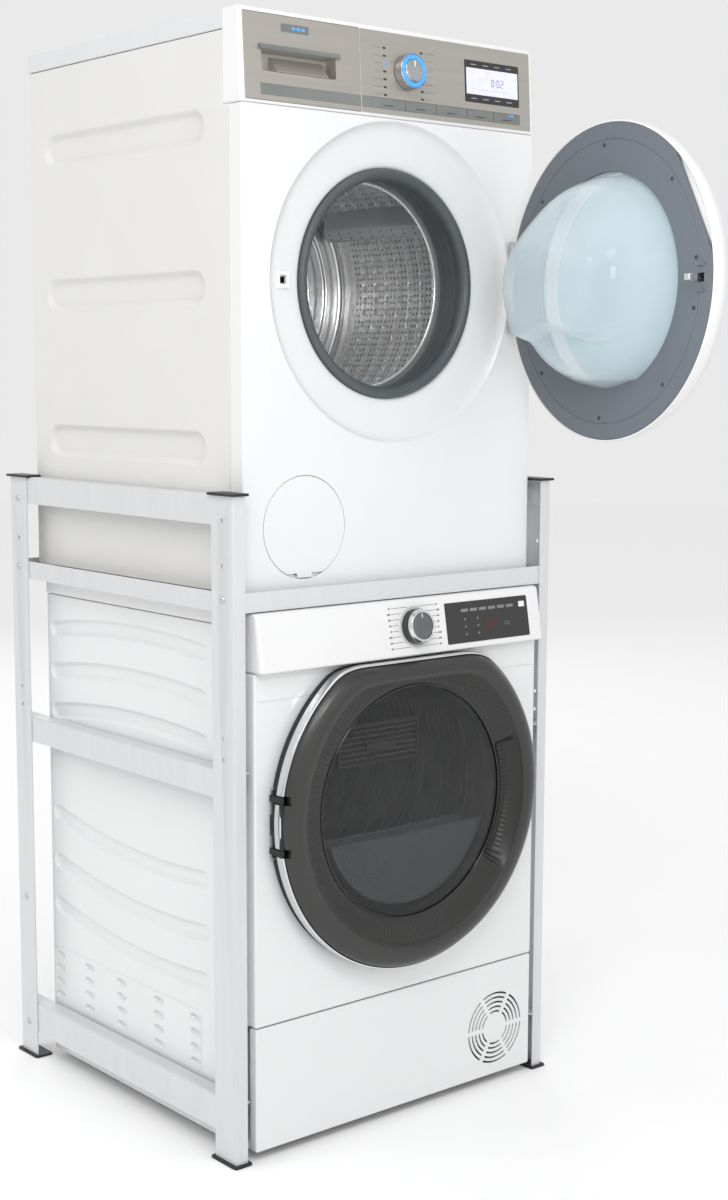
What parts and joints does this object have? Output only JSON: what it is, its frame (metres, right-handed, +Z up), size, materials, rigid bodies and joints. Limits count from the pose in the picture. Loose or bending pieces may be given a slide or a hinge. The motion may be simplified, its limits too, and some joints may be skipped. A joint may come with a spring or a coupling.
{
  "type": "washer dryer stack",
  "caption": "Angle-profile stand holding a front-loading washing machine, its door open, on a shelf above a condenser tumble dryer.",
  "frame": {"origin": "on the floor, in the middle of the bounding box with the washer's door standing open, which is close under the middle of the casings' width", "axes": "+Z up, the machines' fronts face -Y, +X to the right of someone facing away from the fronts along +Y"},
  "size_m": [0.665, 1.1305, 1.741],
  "materials": {
    "stand_aluminium": "satin",
    "board_grey": "satin",
    "white_enamel": "gloss",
    "white_plastic": "gloss",
    "worktop_grey": "satin",
    "fascia_silver": "satin",
    "grey_plastic": "satin",
    "key_strip": "satin",
    "display_glass": "gloss",
    "bowl_glass": "gloss",
    "tinted_window": "gloss",
    "clear_plastic": "gloss",
    "bright_metal": "polished",
    "zinc_plate": "satin",
    "light_metal": "satin",
    "dark_rubber": "matte",
    "stainless_drum": "satin",
    "tub_plastic": "matte",
    "door_anthracite": "satin",
    "motor_iron": "matte",
    "concrete": "matte"
  },
  "bodies": {
    "stand_and_casings": {"dryer_cabinet": "white_enamel", "dryer_condenser": "light_metal", "dryer_control_panel": "white_plastic", "dryer_display": "display_glass", "dryer_door_hinge": "zinc_plate", "dryer_drive_belt": "dark_rubber", "dryer_front_panel": "white_enamel", "dryer_lint_filter": "white_plastic", "dryer_motor": "motor_iron", "dryer_worktop": "white_plastic", "stand_base_rail_left": "stand_aluminium", "stand_base_rail_right": "stand_aluminium", "stand_guard_rail_left": "stand_aluminium", "stand_guard_rail_right": "stand_aluminium", "stand_mid_rail_left": "stand_aluminium", "stand_mid_rail_right": "stand_aluminium", "stand_post_front_left": "stand_aluminium", "stand_post_front_right": "stand_aluminium", "stand_post_rear_left": "stand_aluminium", "stand_post_rear_right": "stand_aluminium", "stand_shelf_board": "board_grey", "stand_shelf_frame": "stand_aluminium", "washer_cabinet": "white_enamel", "washer_control_panel": "fascia_silver", "washer_display": "display_glass", "washer_door_hinge": "zinc_plate", "washer_door_seal": "dark_rubber", "washer_drain_pump": "tub_plastic", "washer_drawer_housing": "white_plastic", "washer_front_panel": "white_enamel", "washer_inlet_valve": "white_plastic", "washer_worktop": "worktop_grey"},
    "washer_door": {"washer_door_shell": "white_plastic", "washer_door_ring": "grey_plastic", "washer_door_glass": "bowl_glass"},
    "washer_door_hook": {"washer_door_hook": "bright_metal"},
    "washer_drawer": {"washer_drawer": "fascia_silver"},
    "washer_program_knob": {"washer_program_knob": "fascia_silver"},
    "washer_key_1": {"washer_key_1": "key_strip"},
    "washer_key_2": {"washer_key_2": "key_strip"},
    "washer_key_3": {"washer_key_3": "key_strip"},
    "washer_key_4": {"washer_key_4": "key_strip"},
    "washer_key_5": {"washer_key_5": "key_strip"},
    "washer_service_flap": {"washer_service_flap": "white_plastic"},
    "washer_filter_plug": {"washer_filter_plug": "grey_plastic"},
    "washer_tub": {"washer_tub": "tub_plastic", "washer_counterweight": "concrete", "washer_motor": "motor_iron", "washer_drive_belt": "dark_rubber"},
    "washer_drum": {"washer_drum": "stainless_drum", "washer_drum_pulley": "light_metal"},
    "washer_motor_pulley": {"washer_motor_pulley": "zinc_plate"},
    "dryer_door": {"dryer_door_ring": "door_anthracite", "dryer_door_window": "tinted_window", "dryer_door_liner": "clear_plastic", "dryer_water_tank": "clear_plastic"},
    "dryer_program_knob": {"dryer_program_knob": "grey_plastic"},
    "dryer_plinth_flap": {"dryer_plinth_flap": "white_plastic"},
    "dryer_drum": {"dryer_drum": "stainless_drum"},
    "dryer_fan_rotor": {"dryer_fan_rotor": "light_metal"}
  },
  "joints": [
    {"name": "washer_door_swing", "type": "hinge", "parent": "stand_and_casings", "child": "washer_door", "pos_m": [0.2455, -0.084, 1.353], "axis": [0, 0, 1], "range_deg": [-82, 36]},
    {"name": "washer_door_hook_turn", "type": "hinge", "parent": "washer_door", "child": "washer_door_hook", "pos_m": [0.19145, -0.54042, 1.353], "axis": [0, 0, 1], "range_deg": [0, 4], "stiffness_Nm_per_rad": 0.05},
    {"name": "washer_drawer_slide", "type": "slide", "parent": "stand_and_casings", "child": "washer_drawer", "axis": [0, -1, 0], "range_m": [0, 0.22]},
    {"name": "washer_program_knob_turn", "type": "hinge", "parent": "stand_and_casings", "child": "washer_program_knob", "pos_m": [0.0243, -0.06774, 1.677], "axis": [0, -0.9983, 0.0583], "continuous": true},
    {"name": "washer_key_1_press", "type": "slide", "parent": "stand_and_casings", "child": "washer_key_1", "axis": [0, 0.9983, -0.0583], "range_m": [0, 0.001], "stiffness_N_per_m": 200},
    {"name": "washer_key_2_press", "type": "slide", "parent": "stand_and_casings", "child": "washer_key_2", "axis": [0, 0.9983, -0.0583], "range_m": [0, 0.001], "stiffness_N_per_m": 200},
    {"name": "washer_key_3_press", "type": "slide", "parent": "stand_and_casings", "child": "washer_key_3", "axis": [0, 0.9983, -0.0583], "range_m": [0, 0.001], "stiffness_N_per_m": 200},
    {"name": "washer_key_4_press", "type": "slide", "parent": "stand_and_casings", "child": "washer_key_4", "axis": [0, 0.9983, -0.0583], "range_m": [0, 0.001], "stiffness_N_per_m": 200},
    {"name": "washer_key_5_press", "type": "slide", "parent": "stand_and_casings", "child": "washer_key_5", "axis": [0, 0.9983, -0.0583], "range_m": [0, 0.001], "stiffness_N_per_m": 200},
    {"name": "washer_service_flap_swing", "type": "hinge", "parent": "stand_and_casings", "child": "washer_service_flap", "pos_m": [-0.182, -0.0705, 0.904], "axis": [1, 0, 0], "range_deg": [0, 80]},
    {"name": "washer_filter_plug_turn", "type": "hinge", "parent": "stand_and_casings", "child": "washer_filter_plug", "pos_m": [-0.182, -0.042, 0.98], "axis": [0, -1, 0], "range_deg": [0, 120]},
    {"name": "washer_tub_bounce", "type": "slide", "parent": "stand_and_casings", "child": "washer_tub", "axis": [0, 0, 1], "range_m": [-0.006, 0.006], "stiffness_N_per_m": 30000, "springref_m": 0.00903, "deforming": ["washer_door_seal"]},
    {"name": "washer_drum_spin", "type": "hinge", "parent": "washer_tub", "child": "washer_drum", "pos_m": [0, 0.188, 1.353], "axis": [0, 1, 0], "continuous": true},
    {"name": "washer_motor_pulley_spin", "type": "hinge", "parent": "washer_tub", "child": "washer_motor_pulley", "pos_m": [0, 0.4135, 1.023], "axis": [0, 1, 0], "continuous": true},
    {"name": "dryer_door_swing", "type": "hinge", "parent": "stand_and_casings", "child": "dryer_door", "pos_m": [-0.268, -0.124, 0.534], "axis": [0, 0, -1], "range_deg": [0, 150]},
    {"name": "dryer_program_knob_turn", "type": "hinge", "parent": "stand_and_casings", "child": "dryer_program_knob", "pos_m": [0.013, -0.10774, 0.814], "axis": [0, -0.9849, 0.1732], "continuous": true},
    {"name": "dryer_plinth_flap_swing", "type": "hinge", "parent": "stand_and_casings", "child": "dryer_plinth_flap", "pos_m": [0, -0.087, 0.022], "axis": [1, 0, 0], "range_deg": [0, 85]},
    {"name": "dryer_drum_spin", "type": "hinge", "parent": "stand_and_casings", "child": "dryer_drum", "pos_m": [0, 0.204, 0.534], "axis": [0, 1, 0], "continuous": true},
    {"name": "dryer_fan_rotor_spin", "type": "hinge", "parent": "stand_and_casings", "child": "dryer_fan_rotor", "pos_m": [0.162, 0.202, 0.127], "axis": [0, 1, 0], "continuous": true}
  ],
  "couplings": [
    {"joint": "washer_motor_pulley_spin", "follows": "washer_drum_spin", "ratio": 11.667},
    {"joint": "dryer_fan_rotor_spin", "follows": "dryer_drum_spin", "ratio": 51.852}
  ]
}
